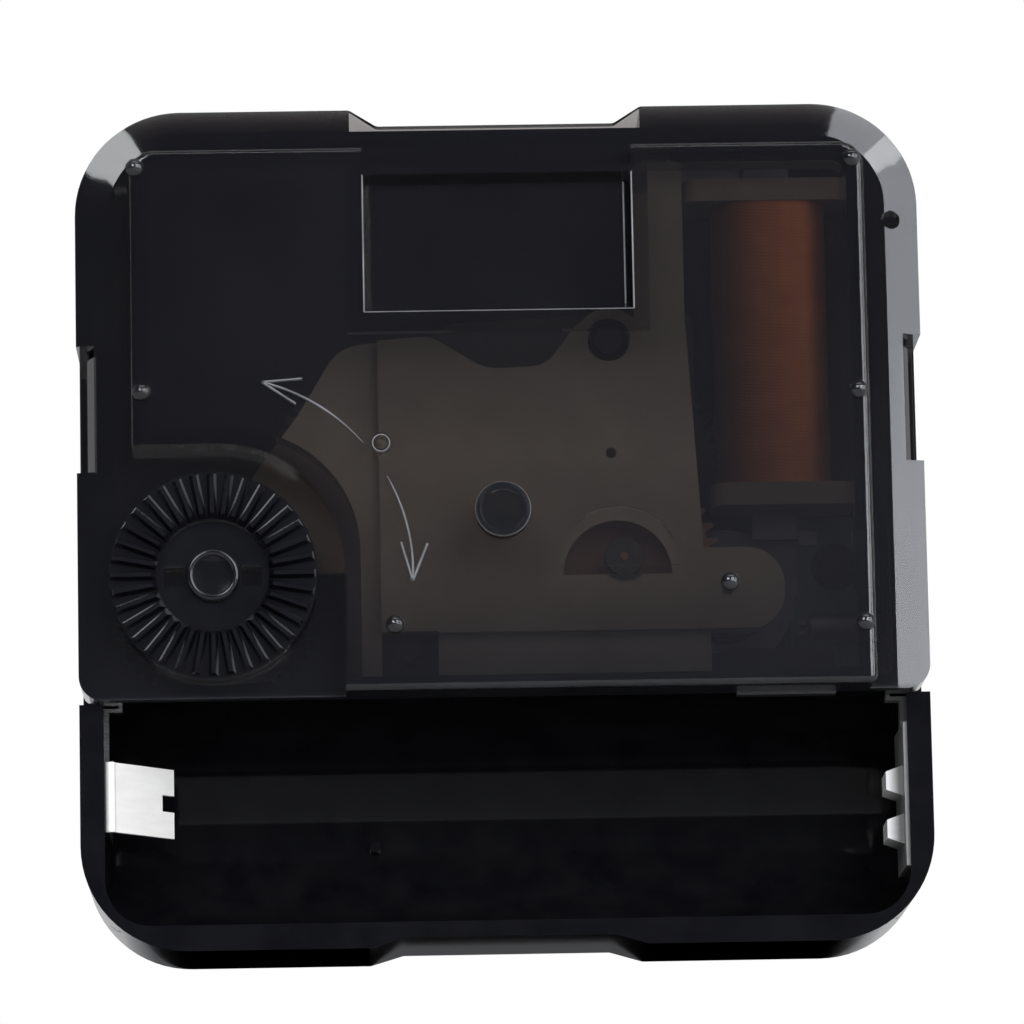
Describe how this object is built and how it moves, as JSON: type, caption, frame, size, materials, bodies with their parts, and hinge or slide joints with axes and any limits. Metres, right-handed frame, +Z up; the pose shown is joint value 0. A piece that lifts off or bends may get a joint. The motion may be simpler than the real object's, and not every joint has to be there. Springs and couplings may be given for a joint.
{
  "type": "clock movement",
  "caption": "Battery quartz clock movement with smoked rear cover, ribbed setting knob, open battery bay and a stepped hand shaft.",
  "frame": {"origin": "on the shaft axis, in the plane of the dial seat", "axes": "+Y along the hand shaft towards the dial, +Z up towards twelve o'clock, +X to the right seen from behind"},
  "size_m": [0.056, 0.029, 0.056],
  "materials": {
    "front_case": "black moulded plastic, glossy",
    "rear_cover": "smoked clear plastic, glossy",
    "threaded_neck": "turned brass",
    "middle_plate": "black moulded plastic",
    "train_bridge": "ivory moulded plastic",
    "circuit_board": "green laminate",
    "chip_cover": "black resin drop",
    "quartz_crystal": "tinned steel can",
    "solder_pads": "solder",
    "coil_bobbin": "ivory moulded plastic",
    "coil_winding": "enamelled copper wire",
    "coil_core": "soft iron",
    "stator_yoke": "soft iron",
    "negative_contact": "nickel-plated spring steel",
    "negative_leaf": "nickel-plated spring steel",
    "positive_contact": "nickel-plated steel",
    "rotor_magnet": "sintered magnet",
    "rotor_pinion": "white moulded plastic",
    "fifth_wheel": "red-brown moulded plastic",
    "seconds_wheel": "white moulded plastic",
    "seconds_arbor": "steel",
    "third_wheel": "white moulded plastic",
    "centre_wheel": "white moulded plastic",
    "minute_pipe": "turned brass",
    "slip_washer": "spring steel",
    "motion_wheel": "white moulded plastic",
    "hour_wheel": "black moulded plastic",
    "setting_knob": "black moulded plastic",
    "setting_gear": "white moulded plastic"
  },
  "bodies": {
    "movement": {"front_case": "front_case", "rear_cover": "rear_cover", "threaded_neck": "threaded_neck", "middle_plate": "middle_plate", "train_bridge": "train_bridge", "circuit_board": "circuit_board", "chip_cover": "chip_cover", "quartz_crystal": "quartz_crystal", "solder_pads": "solder_pads", "coil_bobbin": "coil_bobbin", "coil_winding": "coil_winding", "coil_core": "coil_core", "stator_yoke": "stator_yoke", "negative_contact": "negative_contact", "positive_contact": "positive_contact"},
    "rotor": {"rotor_magnet": "rotor_magnet", "rotor_pinion": "rotor_pinion"},
    "fifth": {"fifth_wheel": "fifth_wheel"},
    "seconds": {"seconds_wheel": "seconds_wheel", "seconds_arbor": "seconds_arbor"},
    "third": {"third_wheel": "third_wheel"},
    "centre": {"centre_wheel": "centre_wheel"},
    "minute": {"minute_pipe": "minute_pipe", "slip_washer": "slip_washer"},
    "motion": {"motion_wheel": "motion_wheel"},
    "hour": {"hour_wheel": "hour_wheel"},
    "setting": {"setting_knob": "setting_knob", "setting_gear": "setting_gear"},
    "leaf": {"negative_leaf": "negative_leaf"}
  },
  "joints": [
    {"name": "rotor_spin", "type": "hinge", "parent": "movement", "child": "rotor", "pos_m": [0.0148, 0, -0.005], "axis": [0, 1, 0], "continuous": true},
    {"name": "fifth_spin", "type": "hinge", "parent": "movement", "child": "fifth", "pos_m": [0.00806, 0, -0.00258], "axis": [0, 1, 0], "continuous": true},
    {"name": "seconds_spin", "type": "hinge", "parent": "movement", "child": "seconds", "pos_m": [0, 0, 0], "axis": [0, 1, 0], "continuous": true},
    {"name": "third_spin", "type": "hinge", "parent": "movement", "child": "third", "pos_m": [0.00731, 0, 0.00435], "axis": [0, 1, 0], "continuous": true},
    {"name": "centre_spin", "type": "hinge", "parent": "movement", "child": "centre", "pos_m": [0, 0, 0], "axis": [0, 1, 0], "continuous": true},
    {"name": "setting_spin", "type": "hinge", "parent": "movement", "child": "setting", "pos_m": [-0.01907, 0, -0.00391], "axis": [0, 1, 0], "continuous": true},
    {"name": "motion_spin", "type": "hinge", "parent": "movement", "child": "motion", "pos_m": [-0.00792, 0, 0.00449], "axis": [0, 1, 0], "continuous": true},
    {"name": "minute_spin", "type": "hinge", "parent": "movement", "child": "minute", "pos_m": [0, 0, 0], "axis": [0, 1, 0], "continuous": true},
    {"name": "hour_spin", "type": "hinge", "parent": "movement", "child": "hour", "pos_m": [0, 0, 0], "axis": [0, 1, 0], "continuous": true},
    {"name": "leaf_flex", "type": "hinge", "parent": "movement", "child": "leaf", "pos_m": [-0.02605, -0.011, -0.01805], "axis": [0, 0, 1], "range_deg": [0, 25], "stiffness_Nm_per_rad": 0.02}
  ],
  "couplings": [
    {"joint": "fifth_spin", "follows": "rotor_spin", "ratio": -0.16667},
    {"joint": "seconds_spin", "follows": "rotor_spin", "ratio": 0.033333},
    {"joint": "third_spin", "follows": "rotor_spin", "ratio": -0.0044444},
    {"joint": "centre_spin", "follows": "rotor_spin", "ratio": 0.00055556},
    {"joint": "motion_spin", "follows": "setting_spin", "ratio": -0.91667},
    {"joint": "minute_spin", "follows": "setting_spin", "ratio": 3.6667},
    {"joint": "hour_spin", "follows": "setting_spin", "ratio": 0.30556}
  ]
}
